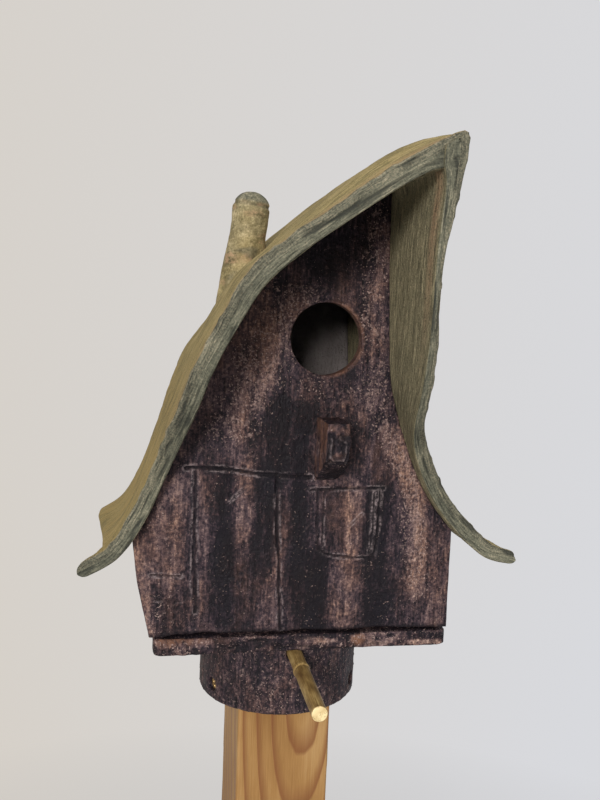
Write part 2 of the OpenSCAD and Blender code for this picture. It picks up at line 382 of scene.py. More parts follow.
def make_clay():
    """Dark oxide brushed over stoneware, rubbed back to tan and pink where the mask says; on the hole's
    rim and on the bracket the masks also carry painted highlight and painted shade.
    """
    s = Shader("dark_oxide_clay", 0.72, 0.17)
    at = s.place()
    rub_and_painted_light, thick_oxide_and_painted_shade, rust_and_painted_highlight = s.attribute("rub_and_painted_light"), s.attribute("thick_oxide_and_painted_shade"), s.attribute("rust_and_painted_highlight")
    groove_and_painted_shadow, burr, crumb = s.attribute("groove_and_painted_shadow"), s.attribute("burr"), s.attribute("crumb")
    gritty = s.attribute("gritty")
    mottle = s.noise(at, (9.0, 9.0, 14.0), 5.0, 0.62)
    brush = s.noise(at, (1.3, 1.3, 24.0), 4.0, 0.6, 0.4)
    thread = s.noise(at, (1.1, 1.1, 5.0), 2.0, 0.6, 0.4)
    grit = s.noise(at, 1.5, 2.0, 0.7)
    patchy = s.noise(at, (3.4, 3.4, 5.0), 5.0, 0.68, 0.5)
    sweep = s.noise(at, (3.6, 3.6, 48.0), 3.0, 0.55, 0.5)
    # Lighter where the oxide is rubbed back and where a painted highlight is laid; darker where the
    # oxide is thick and where painted shade is laid.
    wear_and_painted_light = s.total((mottle, 0.45), (patchy, 0.75), (sweep, 0.5), (brush, 0.6), (thread, 0.7),
                   (grit, 1.15), (rub_and_painted_light, 0.34), (thick_oxide_and_painted_shade, -0.31), offset=-1.83)
    colour = s.ramp(wear_and_painted_light, (0.0, 18, 14, 20), (0.2, 38, 30, 35), (0.4, 66, 52, 54),
                    (0.6, 98, 79, 76), (0.8, 136, 112, 102), (1.0, 184, 158, 142))
    tint = s.ramp(s.noise(at, (13.0, 13.0, 22.0), 3.0, 0.6), (0.4, 244, 245, 255),
                  (0.6, 255, 242, 232))
    colour = s.mix(1.0, colour, tint, "MULTIPLY")
    # Reddish-brown stains; on the hole's rim and the bracket's flank this reddish brown is also a
    # painted highlight.
    colour = s.mix(s.times(rust_and_painted_highlight, s.level(patchy, 0.35, 0.6)), colour, srgb(112, 78, 60))
    sand = s.total((s.noise(at, 0.9, 1.5, 0.5), 1.0), (gritty, 0.14), (patchy, 0.3), offset=-0.16)
    sand = s.level(sand, 0.69, 0.77)
    crumb = s.math("MAXIMUM", sand, s.times(crumb, s.level(grit, 0.4, 0.58, 0.0, 0.7)))
    colour = s.mix(s.times(crumb, 0.75), colour, srgb(158, 134, 126))
    lip = s.times(burr, s.level(grit, 0.42, 0.58, 0.1, 0.75))
    colour = s.mix(lip, colour, srgb(138, 124, 124))
    # Nearly black in scratched grooves and pressed lines, where the oxide sits; along the front wall's
    # foot the same black is painted shadow of the crack.
    colour = s.mix(s.times(groove_and_painted_shadow, 0.9), colour, srgb(16, 12, 17))
    bare = s.ramp(mottle, (0.35, 82, 76, 75), (0.65, 106, 99, 97))
    colour = s.mix(s.attribute("raw"), colour, bare)
    s.colour(colour)
    s.roughness(s.level(s.math("ADD", mottle, grit), 0.75, 1.25, 0.42, 0.74))
    s.bump((patchy, 1.1), (brush, 0.45), (thread, 0.35), (grit, 0.7), (sand, 0.25))
    return s.material


def make_glaze(name, comb_sizes, fine_sizes):
    """Matt olive and grey-green glaze, combed along the slope and torn along its edges."""
    s = Shader(name, 0.8, 0.12)
    grain = s.attribute("grain", "Vector")
    band, under, edge, deep = (s.attribute(k) for k in ("band", "under", "edge", "deep"))
    warm = s.attribute("warm")
    cloud = s.noise(grain, (22.0, 16.0, 16.0), 5.0, 0.62)
    combed = s.noise(grain, comb_sizes, 4.0, 0.65, 0.4)
    fine = s.noise(grain, fine_sizes, 3.0, 0.65)
    grit = s.noise(grain, 0.8, 3.0, 0.7)
    mixed = s.total((cloud, 0.25), (combed, 0.4), (fine, 0.15), (grit, 0.25), offset=-0.025)
    outer = s.ramp(mixed, (0.39, 76, 72, 50), (0.455, 114, 104, 70),
                   (0.51, 146, 132, 91), (0.58, 182, 166, 124))
    lines = s.total((combed, 0.4), (fine, 0.3), (grit, 0.3))
    torn = s.ramp(s.total((lines, 1.0), (cloud, 0.25), offset=-0.125), (0.38, 50, 50, 44),
                  (0.46, 80, 80, 68), (0.54, 108, 106, 90), (0.64, 152, 144, 122))
    inner = s.ramp(lines, (0.4, 67, 65, 51), (0.47, 107, 101, 80),
                   (0.54, 141, 132, 104), (0.61, 184, 170, 138))
    ochre = s.times(s.attribute("ochre"), s.level(cloud, 0.35, 0.6, 0.3, 0.8))
    outer = s.mix(ochre, outer, srgb(150, 126, 76))
    colour = s.mix(under, outer, inner)
    colour = s.mix(band, colour, torn)
    warm = s.times(warm, s.level(s.math("ADD", fine, grit), 0.8, 1.15))
    colour = s.mix(warm, colour, srgb(158, 126, 98))
    edge = s.times(edge, s.level(grit, 0.45, 0.65, 0.0, 0.4))
    colour = s.mix(edge, colour, srgb(166, 148, 122))
    # Painted shade: the crevices of the torn edges, and the chimney's dent and folds, are painted
    # darker; on the chimney this mask also carries stains.
    colour = s.mix(s.times(deep, 0.8), colour, srgb(44, 46, 42))
    colour = s.mix(s.level(s.specks(grain, 2.6, 0.2), 0.0, 1.0, 0.0, 0.5), colour, srgb(60, 54, 42))
    s.colour(colour)
    s.roughness(s.level(mixed, 0.35, 0.65, 0.72, 0.92))
    s.bump((cloud, 0.5), (combed, 0.5), (fine, 0.3), (grit, 0.25))
    return s.material


def make_pine():
    """Planed softwood: growth rings cut lengthways, dark summer wood, fine fibres, with the early wood
    coloured darker than its own as painted shade.
    """
    s = Shader("planed_pine", 0.55, 0.35)
    grain = s.attribute("grain", "Vector")
    at = s.place()
    rings = s.node("SeparateXYZ", {0: grain}, 0)
    wobble = s.noise(at, (14.0, 14.0, 120.0), 3.0)
    phase = s.math("FRACT", s.math("ADD", rings, s.times(wobble, 0.7)))
    fibre = s.noise(at, (0.5, 0.5, 22.0), 4.0, 0.6)
    cloud = s.noise(at, (18.0, 18.0, 60.0), 3.0)
    # Painted shade: these colours are darker than the pine's own, for the house's shadow over the post.
    shaded_early_wood = s.ramp(s.math("ADD", s.times(cloud, 0.6), s.times(fibre, 0.4)),
                   (0.35, 130, 92, 46), (0.5, 146, 108, 60), (0.65, 162, 127, 80))
    late = s.times(s.level(phase, 0.5, 0.9), s.level(phase, 1.0, 0.93))
    colour = s.mix(s.times(late, 0.8), shaded_early_wood, srgb(112, 66, 31))
    colour = s.mix(s.level(fibre, 0.6, 0.75, 0.0, 0.35), colour, srgb(108, 72, 39))
    s.colour(colour)
    s.roughness(s.level(late, 0.0, 1.0, 0.62, 0.48))
    s.bump((late, 0.12), (fibre, 0.12))
    return s.material


def make_bamboo():
    """Weathered bamboo skin with fibres along it and a pale cut end."""
    s = Shader("bamboo_cane", 0.5, 0.35)
    at = s.place()
    cut, ring = s.attribute("cut"), s.attribute("ring")
    fibre = s.noise(at, (0.45, 14.0, 0.45), 4.0, 0.6)
    cloud = s.noise(at, (4.0, 11.0, 4.0), 3.0)
    skin = s.ramp(s.math("ADD", s.times(fibre, 0.45), s.times(cloud, 0.55)),
                  (0.38, 88, 64, 34), (0.5, 130, 104, 60), (0.62, 172, 146, 96))
    pores = s.specks(at, 0.9, 0.32)
    pith = s.ramp(cloud, (0.4, 196, 172, 122), (0.6, 222, 202, 152))
    end = s.mix(s.times(pores, 0.6), pith, srgb(128, 100, 62))
    colour = s.mix(cut, skin, end)
    colour = s.mix(s.times(ring, 0.7), colour, srgb(92, 72, 40))
    s.colour(colour)
    s.bump((fibre, 0.12), (cloud, 0.1))
    return s.material


def make_brass():
    """Dulled brass of the screw heads."""
    s = Shader("dull_brass", 0.45, 0.5)
    at = s.place()
    s.bsdf.inputs["Metallic"].default_value = 0.7
    stain = s.noise(at, 1.2, 4.0, 0.65)
    skin = s.ramp(stain, (0.36, 58, 42, 26), (0.5, 104, 80, 48), (0.66, 150, 124, 80))
    # The slot is painted dark as painted shade in it.
    s.colour(s.mix(s.times(s.attribute("slot"), 0.85), skin, srgb(40, 28, 20)))
    s.roughness(s.level(stain, 0.35, 0.65, 0.7, 0.38))
    s.bump((stain, 0.05))
    return s.material


clay = make_clay()
pine_wood = make_pine()
glaze = make_glaze("combed_glaze", (15.0, 1.1, 0.8), (4.5, 0.6, 0.5))
smeared_glaze = make_glaze("smeared_glaze", (7.0, 7.0, 9.0), (2.2, 2.2, 1.6))
bamboo = make_bamboo()
brass = make_brass()


# ---------------------------------------------------------------- roof slabs
CORNER_R = 0.9
FACE_COLUMNS = 112
BAND_COLUMNS = 13
ROW_STEP = 1.15
# Rows of points round an eave's end, in radii before its tip.
EAVE_ROWS = np.array([1.3, 1.05, 0.8, 0.6, 0.4, 0.25, 0.13, 0.05, 0.01])
# How far the left slab's front edge lies behind the right slab's where it meets it at the ridge.
RIDGE_STEP = 1.3
FILLET_REACH = 7.0
# Where the two inner faces meet under the ridge.
INNER_CORNER_X = 32.3
INNER_CORNER_Z = 198


def slab_ring():
    """One turn round a slab, as shares across its depth and thickness plus offsets in mm.

    It runs along the first face to the back, over the back edge, forward along the second face
    and down the front edge. Columns: depth share, depth mm, thickness share, thickness mm.
    """
    rows = []
    for t in np.linspace(0, 1, FACE_COLUMNS):
        rows.append((t, CORNER_R * (1 - 2 * t), 0, 0))
    for a in np.radians([30, 60]):
        rows.append((1, -CORNER_R * (1 - math.sin(a)), 0, CORNER_R * (1 - math.cos(a))))
    for t in np.linspace(0, 1, BAND_COLUMNS // 2):
        rows.append((1, 0, t, CORNER_R * (1 - 2 * t)))
    for a in np.radians([30, 60]):
        rows.append((1, -CORNER_R * (1 - math.cos(a)), 1, -CORNER_R * (1 - math.sin(a))))
    for t in np.linspace(1, 0, FACE_COLUMNS):
        rows.append((t, CORNER_R * (1 - 2 * t), 1, 0))
    for a in np.radians([22, 45, 68]):
        rows.append((0, CORNER_R * (1 - math.sin(a)), 1, -CORNER_R * (1 - math.cos(a))))
    for t in np.linspace(1, 0, BAND_COLUMNS):
        rows.append((0, 0, t, CORNER_R * (1 - 2 * t)))
    for a in np.radians([22, 45, 68]):
        rows.append((0, CORNER_R * (1 - math.cos(a)), 0, CORNER_R * (1 - math.sin(a))))
    return np.array(rows)


def slab(name, base, front, first_is_outer, start, shear, thickness, swell, bay, seed, end_power):
    """A slab of clay bent over the roof's section, with a torn front edge and a rounded eave.

    base and front are its first face's lines at the wall and at the front edge, and start is how far
    along them it begins. thickness, swell and bay are functions of the place on the slab, shear
    tilts its end at the ridge, and end_power sets how blunt its eave is.
    """
    ring = slab_ring()
    round_r = thickness(np.array([base.length]), np.array([0.0]))[0] / 2
    radius_share = round_r / (base.length + round_r - start)
    steps = np.linspace(0, 1, int((base.length - start) / ROW_STEP))
    steps = steps[steps < 1 - EAVE_ROWS[0] * radius_share]
    steps = np.concatenate([steps, 1 - radius_share * EAVE_ROWS])
    share, column = np.meshgrid(steps, np.arange(len(ring)), indexing="ij")
    share = share.ravel()
    depth_share, depth_mm, thick_share, thick_mm = ring[column.ravel()].T

    # A first guess of the height gives the front edge, and with it the depth of each point.
    _, z = base.place(start + share * (base.length - start), thick_share * SLAB_T)
    y = hood_y(z) * (1 - depth_share) + ROOF_BACK * depth_share + depth_mm
    behind = y - hood_y(z)
    t = thickness(share * base.length, behind)
    if not first_is_outer:
        t = t * (1 - 0.14 * smooth(2.6 / base.length, 0, share))
    n = t * thick_share + thick_mm
    end = base.length + round_r - bay(behind)
    s = start + shear * n + share * (end - start - shear * n)
    over = np.clip((s - (end - round_r)) / round_r, 0, 0.995)
    shrink = (1 - over**end_power) ** (1 / end_power)
    if first_is_outer:
        shrink = np.where(share < 0.004, 0.72 * shrink, shrink)
    n = t / 2 + (n - t / 2) * shrink

    # The face's line moves from the front edge's to the wall's.
    back = smooth(0, 1, behind / np.maximum(-hood_y(z), 4))
    xa, za = front.place(s, n)
    xb, zb = base.place(s, n)
    x = xa + (xb - xa) * back
    z = za + (zb - za) * back
    grain = np.stack([s, behind, n], axis=1)
    outwards = 1 - thick_share if first_is_outer else thick_share
    outer = outwards > 0.5
    inner = outwards < 0.5
    front_band = smooth(CORNER_R * 1.1, 0.3, behind)
    is_band = np.clip(front_band + smooth(CORNER_R * 1.1, 0.3, ROOF_BACK - y), 0, 1)

    # Hand-worked faces, crevices along the torn edge, and a ragged outline.
    face = 0.55 * fractal(grain, (30, 22, 30), 2, seed) + 0.12 * fractal(grain, 2.2, 2, seed + 5)
    face += 0.22 * fractal(grain, (26, 1.6, 3), 2, seed + 3)
    notches = np.maximum(0, noise(grain, (3.2, 9, 40), seed + 13))
    ragged = 0.5 * fractal(grain, (9, 14, 30), 2, seed + 11) * smooth(9, 0, behind)
    ragged += 0.75 * notches * smooth(5, 0, behind) - 0.2
    swollen, sunk = swell(x, y, behind)
    lift = (face + ragged * outer) * (1 - is_band * 0.4) + swollen * outer
    crevice = smooth(0.15, 0.55, fractal(grain, (13, 40, 1.3), 3, seed + 17)) * smooth(4, 30, s)
    inwards = is_band * (0.55 * crevice + 0.2 * fractal(grain, (16, 30, 5), 2, seed + 19))
    inwards = np.where(behind < 10, inwards, -inwards)
    if first_is_outer:
        inwards += RIDGE_STEP * smooth(29.8, 31.4, x) * smooth(3, 0, behind)
    fillet = ridge_fillet(x, z, y, first_is_outer) * inner
    moved = np.where(thick_share > 0.5, 1, -1) * (shrink * lift + np.where(outer, -sunk, sunk) + fillet)
    x = x + moved * np.interp(s, base.at, base.side[:, 0])
    z = z + moved * np.interp(s, base.at, base.side[:, 1])
    points = np.stack([x, y + inwards, z], axis=1)

    around = len(ring)
    faces = ring_faces(len(steps), around) + cap_faces(0) + cap_faces((len(steps) - 1) * around)
    if first_is_outer:
        warm = 0.7 * smooth(11, 1.5, behind) * outer * smooth(60, 150, z) * (1 - is_band)
    else:
        warm = 0.8 * smooth(0.1, 0.9, 1 - np.abs(behind - 7) / 6) * inner * smooth(110, 180, z)
    masks = {
        "grain": grain,
        "band": is_band,
        "under": inner * (1 - is_band),
        "edge": smooth(1.2, 0.3, np.abs(behind - 0.8)) * outer,
        # Painted shade in the crevices of the torn band.
        "deep": crevice * is_band,
        "warm": warm,
        "ochre": first_is_outer * outer * (0.3 + 0.5 * smooth(160, 80, z)),
    }
    return add_mesh(name, points, faces, glaze, masks, [name])


def cap_faces(first):
    """Faces that close one end of a slab, between the points of its two faces."""
    second = first + FACE_COLUMNS + 4 + BAND_COLUMNS // 2
    last = second + FACE_COLUMNS - 1
    faces = [[first + i, first + i + 1, last - 1 - i, last - i] for i in range(FACE_COLUMNS - 1)]
    faces.append([*range(first + FACE_COLUMNS - 1, second + 1)])
    faces.append([*range(last, first + len(slab_ring())), first])
    return faces


def ridge_fillet(x, z, y, is_left):
    """How far the clay pressed into the corner under the ridge stands off each slab."""
    away = (INNER_CORNER_X - x) if is_left else (INNER_CORNER_Z - z) * 0.85
    rise = (FILLET_REACH - np.clip(away, 0, FILLET_REACH)) ** 2 / (4 * FILLET_REACH)
    return rise * smooth(0, -8, y) * (1 - 0.9 * smooth(0, 12, -away))


def left_thickness(s, behind):
    """The left slab's thickness, the same at its front edge and behind it."""
    return by_table(LEFT_T, s)


def right_thickness(s, behind):
    """The right slab's thickness, which changes just behind its pinched front edge."""
    edge = by_table(RIGHT_EDGE_T, s)
    return edge + (by_table(RIGHT_T, s) - edge) * smooth(1, 13, behind)


def left_swell(x, y, behind):
    """How far the outer face stands out behind the front edge, and the whole slab sinks further back."""
    swollen = by_table(LEFT_SWELL, x) * smooth(0, 26, behind)
    sunk = by_table(LEFT_SINK, x) * smooth(0, 55, y)
    return swollen, sunk


def no_swell(x, y, behind):
    """Neither of the two, for the right slab."""
    return np.zeros(len(x)), np.zeros(len(x))


def left_bay(behind):
    """The eave draws back right behind its front tip, and comes out again towards the back."""
    return by_table(LEFT_BAY, behind)


def right_bay(behind):
    """The right eave draws back in one shallow bay."""
    return EAVE_BAY * smooth(4, 40, behind) * (1 - smooth(60, 105, behind))


left_line = Line(LEFT_OUTER)
slab("left_roof", left_line, left_line, True, 1.1, 1.0, left_thickness, left_swell, left_bay, 11, 2.0)
slab("right_roof", Line(RIGHT_INNER), Line(RIGHT_INNER_FRONT), False, 1.5, -0.62, right_thickness,
     no_swell, right_bay, 53, 2.3)


# ---------------------------------------------------------------- walls, plate and collar
# Grooves scratched into the wet clay: points [x, z], width and depth.
GROOVES = [
    ([(-54.3, 75.6), (-36, 74.6), (-12, 72.0), (0, 71.7)], 2.1, 1.0),
    ([(-50.8, 74.5), (-50.2, 45), (-49.1, 11.5)], 2.4, 0.6),
    ([(-15.1, 70.3), (-13.2, 35), (-11.2, 1.3)], 2.0, 1.0),
    ([(0.5, 65.8), (16, 66.6), (33.6, 66.8)], 1.5, 0.8),
    ([(3.2, 64.9), (3.6, 50), (4.5, 39.1)], 1.3, 0.7),
    ([(5.9, 64.5), (6.2, 50), (6.8, 41)], 0.9, 0.4),
    ([(31.8, 65.5), (31.4, 50), (30.3, 35)], 1.4, 0.8),
    ([(29.2, 64.5), (29.0, 50), (28.0, 37)], 0.9, 0.4),
    ([(4.5, 39.2), (8, 36.8), (12.5, 35.7), (21, 35.2), (30.3, 34.8)], 1.4, 0.8),
    ([(-67, 28.6), (-60, 28.2), (-55, 27.6)], 1.0, 0.6),
    ([(-64, 17.6), (-60, 17.4), (-55, 16.4)], 1.0, 0.6),
    ([(17, 48), (24, 55)], 0.7, 0.3),
    ([(-35, 61), (-29, 67)], 0.7, 0.3),
]
# Stretches where the oxide is rubbed back: points [x, z], width and strength.
RUBBED = [
    ([(-69, 2), (-71, 22), (-73, 42)], 8, 0.95),
    ([(-60, 68), (-61, 50), (-61, 28)], 11, 0.75),
    ([(-31, 76), (-31, 62), (-30, 46)], 9, 0.6),
    ([(20.5, 66), (20.5, 52), (20, 36)], 7.5, 1.0),
    ([(19, 34), (19.5, 20), (19, 7)], 12, 0.6),
    ([(36, 92), (42, 78), (49, 62), (52, 46), (51, 20)], 9, 1.05),
    ([(61, 42), (62, 22), (61, 4)], 9, 0.6),
    ([(-33, 99), (-35, 79)], 8, 0.5),
    ([(-10, 145), (-20, 126), (-28, 105)], 14, 0.75),
    ([(-24, 146), (-36, 124), (-44, 104)], 9, 0.6),
    ([(27.5, 182), (27, 140), (27, 104)], 6, 0.75),
    ([(-48, 72), (-45.5, 40), (-45.5, 15)], 3, 0.5),
    ([(-17, 35), (-16, 3)], 9, 0.35),
    ([(-42, 118), (-50, 98), (-56, 84)], 6, 0.45),
    ([(8, 76), (12, 70)], 5, 0.4),
    ([(15, 108), (24, 96)], 6, 0.5),
]
# Stretches where the oxide is thick and bluish black.
THICK = [
    ([(-8, 176), (10, 168), (20, 190)], 20, 0.5),
    ([(-38, 74), (-38, 8)], 8, 0.8),
    ([(-20, 75), (-20, 30)], 9, 0.8),
    ([(-5, 66), (-4, 30), (-1, 8)], 8, 0.9),
    ([(4, 34), (4, 3)], 10, 1.2),
    ([(31, 64), (32, 5)], 10, 1.1),
    ([(-15, 100), (-15, 76)], 12, 0.9),
    ([(-4, 100), (-4, 76)], 8, 0.7),
    ([(-66, 92), (-50, 128), (-34, 152)], 5, 0.8),
]
# Stretches full of pale grog specks.
SPECKLED = [
    ([(-8, 146), (-22, 122), (-34, 95)], 20, 1.0),
    ([(26, 185), (25, 140), (28, 100), (46, 70), (52, 20)], 11, 1.0),
    ([(0, 112), (20, 108)], 12, 0.6),
    ([(-64, 60), (-64, 5)], 14, 0.4),
]


def streaks(x, z, table, warp):
    """The strongest of a table's soft streaks at each place."""
    strongest = np.zeros(len(x))
    for points, width, strength in table:
        d = line_distance(x + warp[0], z + warp[1], points)
        strongest = np.maximum(strongest, strength * smooth(width * 0.8, width * 0.3, d))
    return strongest


def clay_lumps(points, seed, big=0.35):
    """Unevenness of a hand-worked clay face, in mm."""
    fine = 0.2 * fractal(points, (3.0, 3.0, 5), 2, seed + 4)
    return big * fractal(points, 24, 2, seed) + fine


# A turn that keeps the grains of grog from lining up with the axes.
TURN = np.array(Matrix.Rotation(0.9, 3, "X") @ Matrix.Rotation(0.7, 3, "Z")
                @ Matrix.Rotation(0.5, 3, "Y"))


def crumbs(points, amount, seed):
    """Grains of grog that stick out, 0 to 1, more of them where amount is higher."""
    level = 0.8 - 0.38 * amount
    turned = points @ TURN
    small = noise(turned, 1.35, seed)
    large = noise(turned, 2.0, seed + 1)
    return np.maximum(smooth(level, level + 0.2, small), smooth(level + 0.14, level + 0.3, large))


def left_lean(points):
    """How far the walls' left side swells outwards near its foot."""
    x, _, z = points.T
    return -2.0 * smooth(-48, -66, x) * smooth(62, 25, z)


def front_wall():
    """The gable wall with the hole, its scratched door and window, and the crack at its foot."""
    mesh, points, normals = clay_copy("front_wall", 0.64)
    x, y, z = points.T
    on_face = smooth(-0.5, -0.9, normals[:, 1]) * smooth(1.5, 0.3, y)
    warp = (1.4 * fractal(points, 14, 2, 91), 2.0 * fractal(points, 14, 2, 92))
    groove_and_painted_shadow, burr, depth = np.zeros((3, len(x)))
    wander = 0.35 * noise(points, 7, 93)
    for line, width, deep in GROOVES:
        d = line_distance(x + wander, z + wander, line)
        half = width * 0.38 * (1 + 0.35 * noise(points, (5, 5, 5), 94))
        inside = smooth(half * 1.25, half * 0.4, d)
        depth = np.maximum(depth, deep * inside)
        groove_and_painted_shadow = np.maximum(groove_and_painted_shadow, inside * min(1, deep + 0.1))
        lip = smooth(half + 1.0, half + 0.45, d) * smooth(half * 0.8, half * 1.15, d)
        burr = np.maximum(burr, lip * smooth(-0.6, 0.4, noise(points, (4, 4, 4), 95)))
    from_hole = np.hypot(x - HOLE_X, z - HOLE_Z) - HOLE_R
    rim = smooth(1.6, 0.1, from_hole)
    gritty = np.clip(streaks(x, z, SPECKLED, warp) + 0.5 * fractal(points, (9, 9, 14), 3, 96), 0, 1)
    crumb = crumbs(points, gritty, 98) * (0.4 + 0.6 * gritty)
    relief = clay_lumps(points, 21) + (0.45 * crumb - 0.6 * rim - depth + 0.35 * burr) * on_face
    points = points + normals * relief[:, None]
    # A dark crack runs along the foot, open from near the left corner to the right wall.
    foot = smooth(4.5, 0, z) * smooth(-62, -56, x) * smooth(69, 66, x)
    points[:, 2] += foot * (1.5 + 0.6 * noise(points, (9, 9, 9), 97))
    points[:, 0] += left_lean(points)
    move_points(mesh, points)
    # Painted shadow: the bottom few millimetres of the wall are painted nearly black, as the shade in
    # the crack at its foot.
    painted_foot_shadow = smooth(3.5, 0.6, z)
    thick = streaks(x, z, THICK, warp) * on_face
    # Painted highlight: the right side of the hole's rim is painted lighter and reddish, as the lit
    # edge.
    painted_rim_highlight = smooth(1.6, 0.3, np.abs(from_hole)) * smooth(-4, 10, x - HOLE_X)
    brown = (1 - thick) * smooth(0.2, 0.7, fractal(points, (10, 10, 26), 2, 99))
    masks = {
        "rub_and_painted_light": streaks(x, z, RUBBED, warp) * on_face + 0.4 * (1 - on_face) + 0.5 * painted_rim_highlight,
        "thick_oxide_and_painted_shade": thick,
        "crumb": crumb * on_face,
        "gritty": gritty,
        "rust_and_painted_highlight": 0.7 * painted_rim_highlight + 0.2 * brown,
        "groove_and_painted_shadow": np.maximum(groove_and_painted_shadow * on_face, 0.8 * painted_foot_shadow),
        "burr": burr * on_face,
        "raw": smooth(WALL_T - 1.5, WALL_T - 0.3, y),
    }
    return finish_piece("front_wall_clay", mesh, clay, masks, ["front_wall"])


def plain_clay(node, voxel, seed, rub_and_painted_light, speckled, big=0.35, inside=None):
    """A clay piece with no drawing on it: uneven, brushed and rubbed in patches, with grog in it."""
    mesh, points, normals = clay_copy(node, voxel)
    patches = 0.5 + 0.5 * fractal(points, (16, 16, 30), 3, seed + 31)
    grains = speckled * crumbs(points, 0.3 + 0.3 * patches, seed + 37)
    points = points + normals * (clay_lumps(points, seed, big) + 0.3 * grains)[:, None]
    points[:, 0] += left_lean(points)
    move_points(mesh, points)
    masks = {"rub_and_painted_light": rub_and_painted_light * smooth(0.3, 0.75, patches), "crumb": grains, "gritty": speckled * patches}
    if inside is not None:
        masks["raw"] = smooth(0.2, 0.8, normals @ np.array(inside))
    return finish_piece(node + "_clay", mesh, clay, masks, [node])


def floor_plate():
    """The plate under the walls: torn along its front, with rubbed tan and pink patches."""
    mesh, points, normals = clay_copy("floor_plate", 0.85)
    x, y, z = points.T
    front = smooth(-0.3, -0.8, normals[:, 1]) * smooth(3, 0, y)
    torn = fractal(points, (11, 20, 1.8), 3, 41)
    crumb = crumbs(points, 0.35 + 0.3 * fractal(points, 12, 2, 45), 44)
    lumps = 0.45 * fractal(points, (4.5, 9, 2.6), 2, 46) + 0.3 * crumb
    relief = clay_lumps(points, 43) - front * (0.9 * smooth(0.1, 0.6, torn) - lumps)
    points = points + normals * relief[:, None]
    # The lower front edge is a little lower at the left, where the plate droops.
    points[:, 2] -= smooth(20, 0, y) * smooth(60, -60, x) * 0.9 * smooth(0, -7, z)
    move_points(mesh, points)
    patch = smooth(-0.1, 0.4, fractal(points, (9, 30, 3.0), 3, 47))
    right = smooth(-20, 25, x)
    upper_left = smooth(-3.5, -1.5, z) * smooth(-30, -55, x)
    red_spot = smooth(4.0, 1.5, np.hypot(x - 25, 1.2 * (z + 3.0)))
    masks = {
        "rub_and_painted_light": front * (patch * (0.5 + 0.6 * right) + 0.35 * upper_left) + 0.15,
        "thick_oxide_and_painted_shade": 0.6 * (1 - patch),
        "crumb": crumb * (0.3 + 0.7 * patch) * front,
        "gritty": 0.5 + 0.5 * patch,
        "rust_and_painted_highlight": front * np.maximum(0.8 * upper_left, red_spot),
        "groove_and_painted_shadow": front * 0.75 * smooth(0.1, 0.6, torn),
    }
    return finish_piece("floor_plate_clay", mesh, clay, masks, ["floor_plate"])


def bracket():
    """The wedge under the hole: an orange-brown flank painted lighter as painted light, a lumpy front
    with worn patches and a pressed outline, and painted shade on the front and underside.
    """
    mesh, points, normals = clay_copy("perch_bracket", 0.45)
    x, _, z = points.T
    middle = (x.min() + x.max()) / 2
    front = smooth(-0.4, -0.9, normals[:, 1])
    under = smooth(-0.2, -0.6, normals[:, 2])
    top = z.max()
    right = middle + 3.4
    outline = [(middle - 2.8, top - 6), (middle - 3.0, top - 14.5), (middle - 1, top - 16),
               (right - 1, top - 15.5), (right, top - 13), (right - 0.2, top - 8),
               (middle + 1, top - 6.5)]
    d = line_distance(x + 0.5 * noise(points, 4, 65), z + 0.5 * noise(points, 4, 66), outline)
    pressed = smooth(1.2, 0.4, np.abs(d - 1.1)) * front
    ridge = smooth(0.8, 0.2, d) * front
    threads = noise(points, (1.5, 1.5, 12), 67)
    relief = 1.1 * fractal(points, (6, 6, 7), 3, 61) + 0.35 * threads * np.maximum(front * 0.4, under)
    relief += 0.5 * ridge - 0.5 * pressed
    points = points + normals * relief[:, None]
    move_points(mesh, points)
    lit_flank = smooth(-0.4, -0.9, normals[:, 0])
    worn = smooth(0.0, 0.5, fractal(points, 4, 2, 63))
    stain = smooth(-0.4, 0.3, fractal(points, 6, 2, 64))
    masks = {
        # Painted light and shade: the left flank is painted lighter and orange-brown, and the front and
        # underside are painted darker.
        "rub_and_painted_light": 0.6 * lit_flank + front * 0.75 * worn,
        "thick_oxide_and_painted_shade": 0.5 * front + 0.8 * under,
        "rust_and_painted_highlight": np.maximum(0.85 * lit_flank * stain, 0.4 * worn * front),
        "crumb": 0.7 * crumbs(points, 0.4, 68),
        "gritty": 0.6 * worn,
        "groove_and_painted_shadow": 0.7 * pressed,
        "burr": 0.7 * ridge + 0.4 * under * smooth(0.45, 0.7, threads),
    }
    return finish_piece("perch_bracket_clay", mesh, clay, masks, ["perch_bracket"])


front_wall()
plain_clay("back_wall", 1.15, 71, 0.45, 0.5, inside=(0, -1, 0))
plain_clay("left_wall", 1.0, 73, 0.7, 0.5, inside=(1, 0, 0))
plain_clay("right_wall", 1.0, 75, 0.7, 0.5, inside=(-1, 0, 0))
plain_clay("collar", 0.8, 77, 0.25, 1.0, big=0.25)
floor_plate()
bracket()


